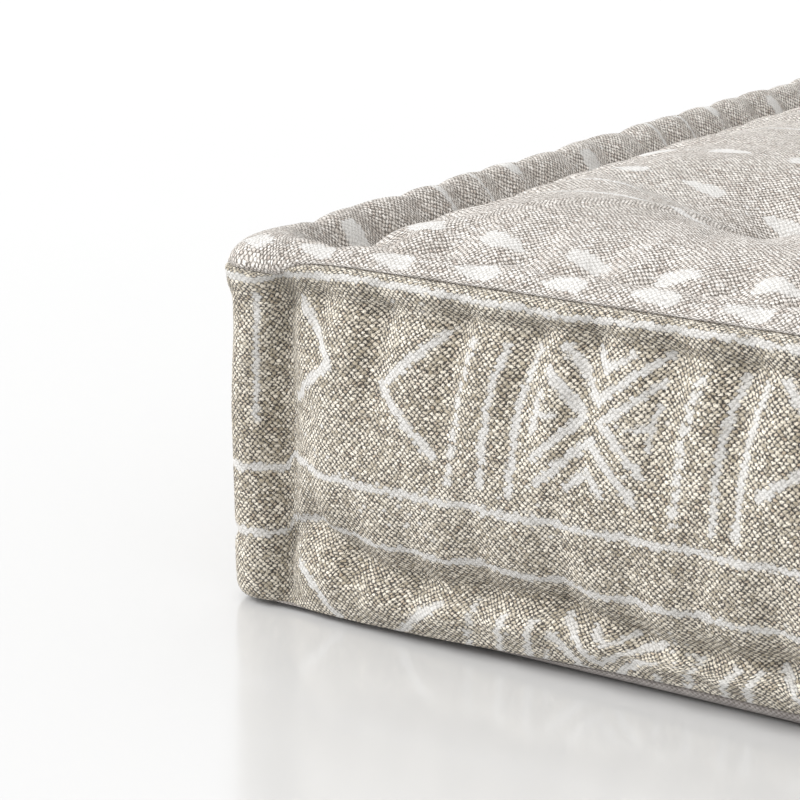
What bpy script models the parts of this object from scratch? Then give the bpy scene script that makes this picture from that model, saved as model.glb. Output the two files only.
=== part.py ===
"""A square tufted floor cushion with rolled, stitched edges.

Metres, +Z up. The origin is on the floor under the middle of the cushion.
The cover is cut in three: a printed top panel, one printed band that runs round all four
sides, and a plain canvas bottom panel. Twine stitched through the edges gathers wadding into
a roll along every edge, and nine twine ties pull the top down into dimples.
"""

import math

import bmesh
import bpy
import numpy as np
from mathutils import Matrix

# Overall sizes
SIDE = 0.600  # across the rolled edges
HEIGHT = 0.130  # floor to the top of the rolled edge
CROWN = 0.010  # how far the middle of the top stands above the rolled edge

# Cover
CLOTH = 0.0015  # thickness of the woven cloth
GAP = 0.0003  # between pieces that touch
SLOPE_ROOM = 1.5  # a vertical gap is this much wider, to keep its width on the steepest slope
SIDE_BULGE = 0.005  # how far the middle of a side stands out past its rolled edges
BULGE_FADES = 0.060  # along a side from the corner, where the bulge begins to reach full size

# Rolled edges
ROLL_WIDTH = 0.027  # from the side to the stitch line on the top
ROLL_SINK = 0.0085  # from the top of the roll down to that stitch line
SEAM_INSET = 0.0028  # the seam of panel and band lies this far in from the side
SEAM_BELOW_TOP = 0.0050  # and this far under the top of the roll
GROOVE_BELOW_TOP = 0.0165  # the stitch line on the side, under the top of the roll
GROOVE_ABOVE_FLOOR = 0.024  # the lower stitch line on the side
GROOVE_DEPTH = 0.006  # how far the stitches pull the side in
ROLL_SIDE_INSET = 0.0005  # of the outermost line of a level roll
SHOULDER_INSET = 0.001  # of the side where it has risen out of the groove, before the bulge
SHOULDER_RISE = 0.22  # share of the way between the grooves where that is
SHOULDER_BULGE = 0.8  # share of the bulge there
ROLL_PINCH = 0.6  # share of the corner pinch that reaches the level rolls
CREST_REACH = 0.035  # the top rises from the stitch line to its crown over about this length
UNDER_SEAM_HEIGHT = 0.0055  # the seam of band and bottom panel, above the floor
UNDER_TURN = 0.014  # the bottom panel lies flat from this far in

# Wadding and twine
ROLL_CORE_RADIUS = 0.0062
ROLL_CORE_BELOW_TOP = 0.0112
ROLL_CORE_ABOVE_FLOOR = 0.0085
ROLL_CORNER_RADIUS = 0.010
CORNER_ROLL_RADIUS = 0.014  # the upright roll at each corner
CORNER_PINCH_DEPTH = 0.007  # how far the stitches beside an upright roll pull the side in
CORNER_CORE_SLACK = 0.0021  # between the upright wadding and the cloth round it
CORNER_CORE_ROOM = 0.010  # upright wadding stops this short of the level rolls' stitch lines
TWINE_RADIUS = 0.001
TWINE_ROOM = 0.0006  # round the twine that runs between wadding and pad

# Pad
PAD_LOW_INSET = 0.033
PAD_LOW_SHOULDER = 0.038  # height above the floor of the pad's lower shoulder
PAD_SHOULDER_INSET = 0.009
PAD_HIGH_SHOULDER = 0.030  # depth of the pad's upper shoulder under the top of the roll

# Tufts
TUFTS = 3  # along each side
TUFT_INSET = 0.150  # from the side to the first row of tufts
TUFT_DEPTH = 0.038
TUFT_SPREAD = 0.028  # the dimple fades by two thirds over this length
TUFT_ROUND = 0.006  # rounding at the bottom of the dimple
UNDER_TUFT_DEPTH = 0.010
UNDER_TUFT_REACH = 0.030
TIE_RADIUS = 0.0012
TIE_HOLE_RADIUS = 0.0018
TIE_HEAD_RADIUS = 0.0050
TIE_HEAD_THICKNESS = 0.0030
TIE_SIDES = 12
HEAD_SLOPE_ROOM = 1.2  # a knot stands this much further off than the dimple's slope asks


# Grid lines of the cover and the pad
LEAST_SPACING = 0.006
CREST_LINES = (0.54, 1.46)  # on the rising crown, as shares of its reach
TUFT_LINES = (-0.9, 0.0, 0.9)  # across each dimple, as shares of its spread
BAND_LINES = (1.0, 0.75, 0.50, 0.28, 0.14)  # along half a side, as shares of it from the corner

HALF = SIDE / 2
ROLL_CORE_INSET = ROLL_WIDTH / 2
CORNER_CORE_RADIUS = CORNER_ROLL_RADIUS - CLOTH - CORNER_CORE_SLACK
TWINE_AWAY = TWINE_RADIUS + TWINE_ROOM  # from the side of the wadding to the middle of the twine
# x + y, in from the two sides, of the slanting face that the pad has at each corner
PAD_CORNER_CUT = 2 * CORNER_ROLL_RADIUS + (CORNER_CORE_RADIUS + 2 * TWINE_AWAY) * math.sqrt(2)
PITCH = (SIDE - 2 * TUFT_INSET) / (TUFTS - 1)
TUFT_AT = [-HALF + TUFT_INSET + PITCH * i for i in range(TUFTS)]
CORNERS = (("front_left", -1, -1), ("front_right", 1, -1), ("back_right", 1, 1), ("back_left", -1, 1))

for old in list(bpy.data.objects):
    bpy.data.objects.remove(old, do_unlink=True)


def collection(name):
    made = bpy.data.collections.new(name)
    bpy.context.scene.collection.children.link(made)
    return made


PARTS = collection("floor_cushion")
CUTTERS = collection("cutters")


def material(name, color, roughness):
    made = bpy.data.materials.new(name)
    made.use_nodes = True
    shader = made.node_tree.nodes["Principled BSDF"]
    shader.inputs["Base Color"].default_value = (*color, 1.0)
    shader.inputs["Roughness"].default_value = roughness
    shader.inputs["Metallic"].default_value = 0.0
    return made


PRINTED_TOP = material("printed_cotton_top", (0.62, 0.57, 0.52), 0.90)
PRINTED_SIDE = material("printed_cotton_side", (0.52, 0.49, 0.42), 0.90)
CANVAS = material("plain_canvas", (0.42, 0.39, 0.38), 0.85)
WADDING = material("cotton_wadding", (0.85, 0.83, 0.78), 0.95)
TWINE = material("cotton_twine", (0.50, 0.44, 0.37), 0.85)


def add_part(name, mesh, look):
    """Puts a mesh in the cushion's collection under its own name and material."""
    made = bpy.data.objects.new(name, mesh)
    mesh.materials.append(look)
    mesh.shade_smooth()
    PARTS.objects.link(made)
    return made


def triangles(a, b, c, d):
    """Two triangles for each four corners, always split across the same diagonal, so that two
    sheets laid over each other fold along the same lines."""
    first = np.stack([a, b, c], -1).reshape(-1, 3)
    second = np.stack([a, c, d], -1).reshape(-1, 3)
    return np.concatenate([first, second])


def sheet_mesh(name, points):
    """A sheet from a grid of points, rows by columns."""
    rows, columns = points.shape[:2]
    index = np.arange(rows * columns).reshape(rows, columns)
    faces = triangles(index[:-1, :-1], index[:-1, 1:], index[1:, 1:], index[1:, :-1])
    mesh = bpy.data.meshes.new(name)
    mesh.from_pydata(points.reshape(-1, 3).tolist(), [], faces.tolist())
    return mesh


def thicken(sheet):
    """Gives a sheet the thickness of the cloth, on the side that its faces turn away from."""
    solidify = sheet.modifiers.new("cloth_thickness", "SOLIDIFY")
    solidify.thickness = CLOTH
    solidify.offset = -1
    solidify.use_even_offset = True


def spaced(values, least):
    """The values in order, leaving out any that comes too close to the one before it."""
    kept = []
    for value in sorted(values):
        if not kept or value - kept[-1] >= least:
            kept.append(value)
    return kept


def grid_lines(edge_insets, tuft_offsets):
    """Places of the grid lines across the cushion: some close to each side, some round each
    row of tufts, and one half way between each two rows."""
    inner = [tuft + offset for tuft in TUFT_AT for offset in tuft_offsets]
    inner += [(a + b) / 2 for a, b in zip(TUFT_AT, TUFT_AT[1:])]
    edges = [-HALF + inset for inset in edge_insets]
    inner = [place for place in inner if abs(place) < -edges[-1] - LEAST_SPACING]
    lines = spaced(edges + inner, LEAST_SPACING)
    left = [line for line in lines if line < -LEAST_SPACING / 2]
    return np.array(left + [0.0] + [-line for line in left[::-1]])


def tuft_distance(x, y):
    """Distance from each point to the nearest tuft."""
    nearest = np.full(np.shape(x), np.inf)
    for tuft_x in TUFT_AT:
        for tuft_y in TUFT_AT:
            nearest = np.minimum(nearest, np.hypot(x - tuft_x, y - tuft_y))
    return nearest


def top_height(x, y):
    """Height of the outer face of the top: a rounded roll along the sides, a stitched valley
    inside it, a crown that rises from the valley, and a dimple at each tuft."""
    inset = HALF - np.maximum(np.abs(x), np.abs(y))
    middle = ROLL_WIDTH / 2
    roll = HEIGHT - ROLL_SINK * ((inset - middle) / middle) ** 2
    rise = 1 - np.exp(-(inset - ROLL_WIDTH) / CREST_REACH)
    crown = HEIGHT - ROLL_SINK + (ROLL_SINK + CROWN) * rise
    distance = np.sqrt(tuft_distance(x, y) ** 2 + TUFT_ROUND**2) - TUFT_ROUND
    return np.where(inset < ROLL_WIDTH, roll, crown - TUFT_DEPTH * np.exp(-distance / TUFT_SPREAD))


def under_height(x, y):
    """Height of the outer face of the bottom: flat on the floor, with a cone at each tuft."""
    return UNDER_TUFT_DEPTH * np.clip(1 - tuft_distance(x, y) / UNDER_TUFT_REACH, 0, None)


def rounded(x, y, radius):
    """Moves the points near each corner so that squares round the middle get round corners."""
    centre = HALF - radius
    dx = np.clip(np.abs(x) - centre, 0, None)
    dy = np.clip(np.abs(y) - centre, 0, None)
    length = np.hypot(dx, dy)
    scale = np.where(length > 0, np.maximum(dx, dy) / np.where(length > 0, length, 1), 1)
    both = (dx > 0) & (dy > 0)
    new_x = np.where(both, np.sign(x) * (centre + dx * scale), x)
    new_y = np.where(both, np.sign(y) * (centre + dy * scale), y)
    return new_x, new_y


# Top panel: printed cotton, sewn to the band low on the outside of the roll.
seam_room = CLOTH + GAP
crest_lines = [ROLL_WIDTH + CREST_REACH * share for share in CREST_LINES]
tuft_lines = [TUFT_SPREAD * share for share in TUFT_LINES]
top_lines = grid_lines([SEAM_INSET, ROLL_WIDTH / 2, ROLL_WIDTH] + crest_lines, tuft_lines)
grid_x, grid_y = np.meshgrid(top_lines, top_lines)
grid_z = top_height(grid_x, grid_y)
outline = np.maximum(np.abs(grid_x), np.abs(grid_y)) >= HALF - SEAM_INSET - GAP
grid_z[outline] = HEIGHT - SEAM_BELOW_TOP + seam_room
flat_x, flat_y = rounded(grid_x, grid_y, CORNER_ROLL_RADIUS)
top_points = np.dstack([flat_x, flat_y, grid_z])
top_panel = add_part("top_panel", sheet_mesh("top_panel", top_points), PRINTED_TOP)
thicken(top_panel)

# Bottom panel: plain canvas, turned up at its edge to meet the band.
under_lines = top_lines.copy()
under_lines[:3] = [-HALF + SEAM_INSET, -HALF + UNDER_TURN, -HALF + PAD_LOW_INSET]
under_lines[-3:] = -under_lines[2::-1]
grid_x, grid_y = np.meshgrid(under_lines, under_lines)
grid_z = under_height(grid_x, grid_y)
outline = np.maximum(np.abs(grid_x), np.abs(grid_y)) >= HALF - SEAM_INSET - GAP
grid_z[outline] = UNDER_SEAM_HEIGHT - seam_room
flat_x, flat_y = rounded(grid_x, grid_y, CORNER_ROLL_RADIUS)
bottom_points = np.dstack([flat_x, flat_y, grid_z]).transpose(1, 0, 2)
bottom_panel = add_part("bottom_panel", sheet_mesh("bottom_panel", bottom_points), CANVAS)
thicken(bottom_panel)


def band_rows():
    """Height, inset from the side, share of the bulge and share of the corner pinch for each
    row of the band, from its lower seam to its upper one."""
    low, high = GROOVE_ABOVE_FLOOR, HEIGHT - GROOVE_BELOW_TOP
    seam_high = HEIGHT - SEAM_BELOW_TOP
    span = high - low
    return (
        (UNDER_SEAM_HEIGHT, SEAM_INSET, 0.0, 0.0),
        ((UNDER_SEAM_HEIGHT + low) / 2, ROLL_SIDE_INSET, 0.0, ROLL_PINCH),
        (low, GROOVE_DEPTH, 0.0, 1.0),
        (low + span * SHOULDER_RISE, SHOULDER_INSET, SHOULDER_BULGE, 1.0),
        ((low + high) / 2, 0.0, 1.0, 1.0),
        (high - span * SHOULDER_RISE, SHOULDER_INSET, SHOULDER_BULGE, 1.0),
        (high, GROOVE_DEPTH, 0.0, 1.0),
        ((seam_high + high) / 2, ROLL_SIDE_INSET, 0.0, ROLL_PINCH),
        (seam_high, SEAM_INSET, 0.0, 0.0),
    )


def band_corner(inset, pinch):
    """Points of one row round the front left corner, as distances in from the left side and
    from the front: from the pinch on the left side, round the upright roll, to the front."""
    first = math.pi - math.acos(1 - CORNER_PINCH_DEPTH / CORNER_ROLL_RADIUS)
    angles = np.linspace(first, math.radians(450) - first, 7)
    radius = CORNER_ROLL_RADIUS - inset * (1 - pinch)
    left = CORNER_ROLL_RADIUS + radius * np.cos(angles)
    front = CORNER_ROLL_RADIUS + radius * np.sin(angles)
    straight_left = np.where(front > CORNER_ROLL_RADIUS, inset, left)
    straight_front = np.where(left > CORNER_ROLL_RADIUS, inset, front)
    straight = np.stack([straight_left, straight_front], -1)
    return straight + pinch * (np.stack([left, front], -1) - straight)


def turned_copies(points, first_turn):
    """The points and their copies turned a quarter, a half and three quarters round, in order."""
    copies = []
    for turn in range(4):
        angle = math.radians(90 * turn + first_turn)
        x, y = points[:, 0], points[:, 1]
        turned_x = x * math.cos(angle) - y * math.sin(angle)
        turned_y = x * math.sin(angle) + y * math.cos(angle)
        copies.append(np.stack([turned_x, turned_y], -1))
    return np.concatenate(copies)


def band_row(height, inset, bulge, pinch):
    """One row of the band all the way round, from the middle of the back to the middle of the
    back again, seen from above and going left, front, right, back."""
    along = HALF * np.array(BAND_LINES)
    reach = np.clip(along / BULGE_FADES, 0, 1)
    out = inset - SIDE_BULGE * bulge * reach
    side = np.stack([out, along], -1)
    corner = band_corner(inset, pinch)
    quarter = np.concatenate([side, corner, side[:0:-1, ::-1]])
    ring = turned_copies(quarter - HALF, -90)
    ring = np.concatenate([ring, ring[:1]])
    ring[0, 0] -= GAP / 2
    ring[-1, 0] += GAP / 2
    return np.column_stack([ring, np.full(len(ring), height)])


# Side band: one strip of printed cotton, closed by a seam in the middle of the back.
band_points = np.array([band_row(*row) for row in band_rows()])
side_band = add_part("side_band", sheet_mesh("side_band", band_points), PRINTED_SIDE)
thicken(side_band)


def pad_ring(inset, square):
    """Outline of the pad at one height, laid on the edge of the square of grid lines given,
    with its corners cut off where the upright rolls stand."""
    count = len(square)
    index = np.arange(count)
    edge = np.clip(square, -HALF + inset, HALF - inset)
    cut = max(PAD_CORNER_CUT, 2 * inset)
    edge[1] = -HALF + cut - inset
    edge[-2] = -edge[1]
    edge[0] = -HALF + cut / 2
    edge[-1] = -edge[0]
    across = np.where((index == 0) | (index == count - 1), -HALF + cut / 2, -HALF + inset)
    front = np.stack([edge, across], -1)[:-1]
    return turned_copies(front, 0)


def pad_mesh():
    """The pad: a grid on top and one underneath, joined by rings of faces round the sides."""
    lines = top_lines[np.abs(top_lines) <= HALF - ROLL_WIDTH + GAP]
    low_lines = lines.copy()
    low_lines[0], low_lines[-1] = -HALF + PAD_LOW_INSET, HALF - PAD_LOW_INSET
    count = len(lines)
    drop = (CLOTH + GAP) * SLOPE_ROOM
    x, y = np.meshgrid(lines, lines)
    top = np.dstack([x, y, top_height(x, y) - drop]).reshape(-1, 3)
    x, y = np.meshgrid(low_lines, low_lines)
    under = np.dstack([x, y, under_height(x, y) + drop]).reshape(-1, 3)
    index = np.arange(count * count).reshape(count, count)
    border = np.concatenate([index[0, :-1], index[:-1, -1], index[-1, :0:-1], index[:0:-1, 0]])
    shoulders = (
        (PAD_LOW_SHOULDER, PAD_SHOULDER_INSET),
        ((HEIGHT + GROOVE_ABOVE_FLOOR - GROOVE_BELOW_TOP) / 2, CLOTH + GAP - SIDE_BULGE / 2),
        (HEIGHT - PAD_HIGH_SHOULDER, PAD_SHOULDER_INSET),
    )
    rings = []
    for z, inset in shoulders:
        rings.append(np.column_stack([pad_ring(inset, lines), np.full(len(border), z)]))
    points = np.concatenate([under, top, *rings])
    first_ring = 2 * count * count
    loops = [border]
    loops += [first_ring + len(border) * i + np.arange(len(border)) for i in range(len(rings))]
    loops.append(border + count * count)
    faces = [triangles(index[:-1, :-1], index[1:, :-1], index[1:, 1:], index[:-1, 1:])]
    high = index + count * count
    faces.append(triangles(high[:-1, :-1], high[:-1, 1:], high[1:, 1:], high[1:, :-1]))
    for low, up in zip(loops, loops[1:]):
        faces.append(triangles(low, np.roll(low, -1), np.roll(up, -1), up))
    mesh = bpy.data.meshes.new("filling_pad")
    mesh.from_pydata(points.tolist(), [], np.concatenate(faces).tolist())
    return mesh


# Filling pad: one block of layered cotton wadding that fills the cover inside the stitches.
filling_pad = add_part("filling_pad", pad_mesh(), WADDING)


def ring_tube(name, inset, height, radius, look):
    """A closed tube that runs round the cushion inside its edge."""
    corner = ROLL_CORNER_RADIUS
    centre = HALF - inset - corner
    angles = np.linspace(0, math.pi / 2, 5)
    arc = centre + corner * np.stack([np.cos(angles), np.sin(angles)], -1)
    points = turned_copies(arc, 0)
    curve = bpy.data.curves.new(name, "CURVE")
    curve.dimensions = "3D"
    curve.bevel_depth = radius
    curve.bevel_resolution = 2
    curve.use_fill_caps = True
    spline = curve.splines.new("POLY")
    spline.points.add(len(points) - 1)
    for point, place in zip(spline.points, points):
        point.co = (*place, height, 1.0)
    spline.use_cyclic_u = True
    made = bpy.data.objects.new(name, curve)
    curve.materials.append(look)
    PARTS.objects.link(made)
    return made


# Level rolls: wadding caught in the edges, and the twine that runs between roll and pad.
high_core = HEIGHT - ROLL_CORE_BELOW_TOP
low_core = ROLL_CORE_ABOVE_FLOOR
twine_shift = (ROLL_CORE_RADIUS + TWINE_AWAY) * math.sqrt(0.5)
twine_inset = ROLL_CORE_INSET + twine_shift
ring_tube("roll_wadding_top", ROLL_CORE_INSET, high_core, ROLL_CORE_RADIUS, WADDING)
ring_tube("roll_wadding_bottom", ROLL_CORE_INSET, low_core, ROLL_CORE_RADIUS, WADDING)
ring_tube("roll_twine_top", twine_inset, high_core - twine_shift, TWINE_RADIUS, TWINE)
ring_tube("roll_twine_bottom", twine_inset, low_core + twine_shift, TWINE_RADIUS, TWINE)


def upright(name, x, y, radius, sides, look):
    """A plain upright cylinder between the level rolls."""
    low = GROOVE_ABOVE_FLOOR + CORNER_CORE_ROOM
    high = HEIGHT - GROOVE_BELOW_TOP - CORNER_CORE_ROOM
    place = (x, y, (low + high) / 2)
    bpy.ops.mesh.primitive_cylinder_add(vertices=sides, radius=radius, depth=high - low, location=place)
    made = bpy.context.active_object
    made.name = name
    made.data.name = name
    made.data.materials.append(look)
    made.data.shade_smooth()
    made.data.set_sharp_from_angle(angle=math.radians(40))
    for owner in list(made.users_collection):
        owner.objects.unlink(made)
    PARTS.objects.link(made)
    return made


# Upright rolls: wadding at each corner, and the twine behind it.
corner_at = HALF - CORNER_ROLL_RADIUS
twine_at = corner_at - (CORNER_CORE_RADIUS + TWINE_AWAY) * math.sqrt(0.5)
for name, x, y in CORNERS:
    upright("corner_wadding_" + name, x * corner_at, y * corner_at, CORNER_CORE_RADIUS, 20, WADDING)
    upright("corner_twine_" + name, x * twine_at, y * twine_at, TWINE_RADIUS, 10, TWINE)


def tie_mesh(low, high):
    """Outline of one tie, turned round its own axis: a flat knot above, a shank of doubled
    twine and a flat knot below."""
    outline = (
        (0.0, high + TIE_HEAD_THICKNESS),
        (TIE_HEAD_RADIUS * 0.7, high + TIE_HEAD_THICKNESS * 0.8),
        (TIE_HEAD_RADIUS, high + TIE_HEAD_THICKNESS * 0.4),
        (TIE_HEAD_RADIUS * 0.8, high),
        (TIE_RADIUS, high),
        (TIE_RADIUS, low),
        (TIE_HEAD_RADIUS * 0.8, low),
        (TIE_HEAD_RADIUS, low - TIE_HEAD_THICKNESS * 0.4),
        (TIE_HEAD_RADIUS * 0.7, low - TIE_HEAD_THICKNESS * 0.8),
        (0.0, low - TIE_HEAD_THICKNESS),
    )
    mesh = bpy.data.meshes.new("tuft_tie")
    mesh.from_pydata([(x, 0.0, z) for x, z in outline], [(i, i + 1) for i in range(len(outline) - 1)], [])
    return mesh


# Tuft ties: doubled twine through the whole cushion at each tuft, knotted above and below.
first_line = TUFT_SPREAD * TUFT_LINES[-1]
first_tuft = np.array(TUFT_AT[0])
climb = top_height(first_tuft + first_line, first_tuft) - top_height(first_tuft, first_tuft)
steepest = float(climb) / first_line
head_rise = TIE_HEAD_RADIUS * steepest * HEAD_SLOPE_ROOM + GAP
head_fall = TIE_HEAD_RADIUS * UNDER_TUFT_DEPTH / UNDER_TUFT_REACH * HEAD_SLOPE_ROOM + GAP
hole_length = (HEIGHT + CROWN) * 1.2
holes_shape = bmesh.new()
for row, tuft_y in enumerate(TUFT_AT):
    for column, tuft_x in enumerate(TUFT_AT):
        top_here = float(top_height(np.array(tuft_x), np.array(tuft_y)))
        outline = tie_mesh(UNDER_TUFT_DEPTH - head_fall, top_here + head_rise)
        tie = add_part(f"tuft_tie_{row + 1}_{column + 1}", outline, TWINE)
        tie.location = (tuft_x, tuft_y, 0.0)
        turned = tie.modifiers.new("turned", "SCREW")
        turned.steps = TIE_SIDES
        turned.render_steps = TIE_SIDES
        turned.use_merge_vertices = True
        turned.merge_threshold = 0.0001
        bmesh.ops.create_cone(
            holes_shape,
            cap_ends=True,
            segments=TIE_SIDES,
            radius1=TIE_HOLE_RADIUS,
            radius2=TIE_HOLE_RADIUS,
            depth=hole_length,
            matrix=Matrix.Translation((tuft_x, tuft_y, HEIGHT / 2)),
        )
holes_mesh = bpy.data.meshes.new("tie_holes")
holes_shape.to_mesh(holes_mesh)
holes_shape.free()
tie_holes = bpy.data.objects.new("tie_holes", holes_mesh)
tie_holes.hide_render = True
tie_holes.display_type = "WIRE"
CUTTERS.objects.link(tie_holes)
for pierced in (top_panel, bottom_panel, filling_pad):
    holes = pierced.modifiers.new("tie_holes", "BOOLEAN")
    holes.operation = "DIFFERENCE"
    holes.solver = "EXACT"
    holes.object = tie_holes
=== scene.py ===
import math

import bpy
import numpy as np
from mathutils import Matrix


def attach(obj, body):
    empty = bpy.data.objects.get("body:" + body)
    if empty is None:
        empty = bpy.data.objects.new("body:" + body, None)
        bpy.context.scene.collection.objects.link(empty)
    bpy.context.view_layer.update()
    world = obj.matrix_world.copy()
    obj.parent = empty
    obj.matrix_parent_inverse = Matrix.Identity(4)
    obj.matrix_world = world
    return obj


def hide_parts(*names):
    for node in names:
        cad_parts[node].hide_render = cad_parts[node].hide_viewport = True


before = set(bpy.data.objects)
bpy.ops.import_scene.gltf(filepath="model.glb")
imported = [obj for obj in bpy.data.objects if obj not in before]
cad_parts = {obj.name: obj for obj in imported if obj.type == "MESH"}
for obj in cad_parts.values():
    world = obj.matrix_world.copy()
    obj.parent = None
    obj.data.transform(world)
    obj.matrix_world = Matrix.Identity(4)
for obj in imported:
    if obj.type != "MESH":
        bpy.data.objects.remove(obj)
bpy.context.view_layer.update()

# Filling pad: layered cotton wadding, beaten flat and cut to the size of the cover, then squeezed
# by the stitched edges and drawn down at each tuft. It fills the cushion and is never seen.
SIDE = 0.600
HALF = SIDE / 2
HEIGHT = 0.130
CROWN = 0.0095
ROLL_SINK = 0.0132
VALLEY_INSET = 0.0258
CREST_REACH = 0.027
# From each stitch to the next along the top of one side, by hand and so uneven
HIGH_SPACING = (43, 26, 30, 28, 21, 29, 25, 28, 27, 30, 26, 24, 29, 27, 30, 25, 28, 26, 29, 26, 43)
HIGH_STITCHES = np.concatenate([[0.0], np.cumsum(HIGH_SPACING)]) / 1000
TUFT_AT = np.array([-0.150, 0.0, 0.150])
TUFTS = [(tuft_x, tuft_y) for tuft_x in TUFT_AT for tuft_y in TUFT_AT]
TUFT_DEPTH = 0.037
TUFT_SPREAD = 0.027
PAD_CLEAR = 0.0085
PINCH_WIDTH = 0.006


def new_piece(name, points, faces, *nodes):
    """A mesh piece that rides on the cushion's one body and stands for the CAD nodes named."""
    mesh = bpy.data.meshes.new(name)
    mesh.from_pydata(points.reshape(-1, 3).tolist(), [], faces)
    mesh.shade_smooth()
    piece = bpy.data.objects.new(name, mesh)
    bpy.context.scene.collection.objects.link(piece)
    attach(piece, "root")
    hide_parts(*nodes)
    return piece


def grid_faces(rows, columns, closed=False):
    """Four-cornered faces of a grid of points, counted row by row; a closed grid joins its last
    column to its first. Seen with rows going up and columns going right they face the viewer."""
    index = np.arange(rows * columns).reshape(rows, columns)
    if closed:
        index = np.concatenate([index, index[:, :1]], 1)
    corners = (index[:-1, :-1], index[:-1, 1:], index[1:, 1:], index[1:, :-1])
    return np.stack(corners, -1).reshape(-1, 4).tolist()


def arch(along, places):
    """Nought at each stitch and one half way to the next: four times the share of the way
    gone times the share of the way left."""
    gap = np.clip(np.searchsorted(places, along) - 1, 0, len(places) - 2)
    share = np.clip((along - places[gap]) / (places[gap + 1] - places[gap]), 0, 1)
    return 4 * share * (1 - share)


def nip(along, places, width):
    """One at each stitch, falling away on both sides as a bell of the width given."""
    away = np.abs(along[..., None] - places[1:-1]).min(-1)
    return np.exp(-((away / width) ** 2))


def along_nearest_side(x, y):
    """Distance along the nearest side from its left end, seen from outside."""
    front_or_back = np.where(y < 0, HALF + x, HALF - x)
    right_or_left = np.where(x > 0, HALF + y, HALF - y)
    return np.where(np.abs(y) >= np.abs(x), front_or_back, right_or_left)


def ripple(x, y):
    """Slow unevenness of hand-laid wadding: four sine waves across each other."""
    return (
        np.sin(x * 61 + y * 23 + 0.6) * 0.30
        + np.sin(x * -37 + y * 71 + 2.1) * 0.30
        + np.sin(x * 97 + y * -53 + 4.0) * 0.20
        + np.sin(x * 29 + y * 113 + 1.2) * 0.20
    )


def top_height(x, y):
    """Height of the top. From the side in: a parabola for the roll, a stitched valley, and a
    crown that rises as one minus a falling exponential. Each tuft takes off a falling
    exponential of its distance, with radial folds round it."""
    inset = HALF - np.maximum(np.abs(x), np.abs(y))
    along = along_nearest_side(x, y)
    puff = arch(along, HIGH_STITCHES)
    pinch = nip(along, HIGH_STITCHES, PINCH_WIDTH)
    valley = VALLEY_INSET + 0.0012 * puff
    valley_height = HEIGHT - ROLL_SINK + 0.0012 * puff - 0.0022 * pinch
    crest = HEIGHT + 0.0004 * puff - 0.0006 * pinch
    across = (inset - valley / 2) / (valley / 2)
    roll = crest - (crest - np.where(across > 0, valley_height, HEIGHT - ROLL_SINK)) * across**2
    past = np.clip(inset - valley, 0, None)
    crown = valley_height + (HEIGHT + CROWN - valley_height) * (1 - np.exp(-past / CREST_REACH))
    crown += (0.0018 * puff - 0.0016 * pinch) * np.exp(-(((past - 0.013) / 0.012) ** 2))
    crown += 0.0013 * ripple(x, y) * np.clip(past / 0.04, 0, 1)
    for tuft_x, tuft_y in TUFTS:
        away = np.hypot(x - tuft_x, y - tuft_y)
        turn = np.arctan2(y - tuft_y, x - tuft_x)
        reach = np.sqrt(away**2 + 0.005**2) - 0.005
        folds = np.cos(7 * turn + 9 * tuft_x + 5 * tuft_y) + 0.5 * np.cos(4 * turn + 31 * tuft_y + 1)
        crown -= TUFT_DEPTH * np.exp(-reach / TUFT_SPREAD)
        crown += 0.0012 * folds * np.exp(-(((away - 0.020) / 0.012) ** 2))
    return np.where(inset < valley, roll, crown)


def pad_points():
    """Rings of a rounded square, whose two halves to the power of twelve add up to one, from the
    middle of the underside out to its edge, up the side and in again to the middle of the top.
    The height is a mix of the underside's and the top's, and six layers show as sine waves."""
    turn = np.linspace(0, 2 * math.pi, 240, endpoint=False)
    square = (np.abs(np.cos(turn)) ** 12 + np.abs(np.sin(turn)) ** 12) ** (-1 / 12)
    under = np.linspace(0.004, 0.262, 22)
    side = np.linspace(-1, 1, 13)[1:-1]
    top = np.linspace(0.264, 0.004, 34)
    size = np.concatenate([under, 0.264 + 0.020 * np.sqrt(1 - side**2), top])
    share = np.concatenate([np.zeros(len(under)), (side + 1) / 2, np.ones(len(top))])
    x = size[:, None] * square * np.cos(turn)
    y = size[:, None] * square * np.sin(turn)
    away = np.full(x.shape, np.inf)
    for tuft_x, tuft_y in TUFTS:
        away = np.minimum(away, np.hypot(x - tuft_x, y - tuft_y))
    low = 0.0075 + 0.009 * np.exp(-away / 0.018)
    rim = np.clip((size - 0.22) / 0.044, 0, 1)[:, None] ** 2
    high = top_height(x, y) - PAD_CLEAR - 0.010 * rim
    layers = 0.0008 * np.sin(share * 6 * 2 * math.pi)[:, None] * np.ones_like(x)
    z = (low + 0.012 * rim) * (1 - share[:, None]) + high * share[:, None]
    return np.stack([x * (1 + layers), y * (1 + layers), z], -1)


def capped(points):
    """Points and faces of a grid that is closed round, with each open end closed by a fan of
    three-cornered faces to a middle point."""
    rows, columns = points.shape[:2]
    first, last = rows * columns, rows * columns + 1
    ring = np.arange(columns)
    back = np.roll(ring, -1)
    top = ring + (rows - 1) * columns
    ends = np.stack([points[0].mean(0), points[-1].mean(0)])
    all_points = np.concatenate([points.reshape(-1, 3), ends])
    low = np.stack([back, ring, np.full(columns, first)], -1)
    high = np.stack([top, np.roll(top, -1), np.full(columns, last)], -1)
    return all_points, grid_faces(rows, columns, closed=True) + low.tolist() + high.tolist()


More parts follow.
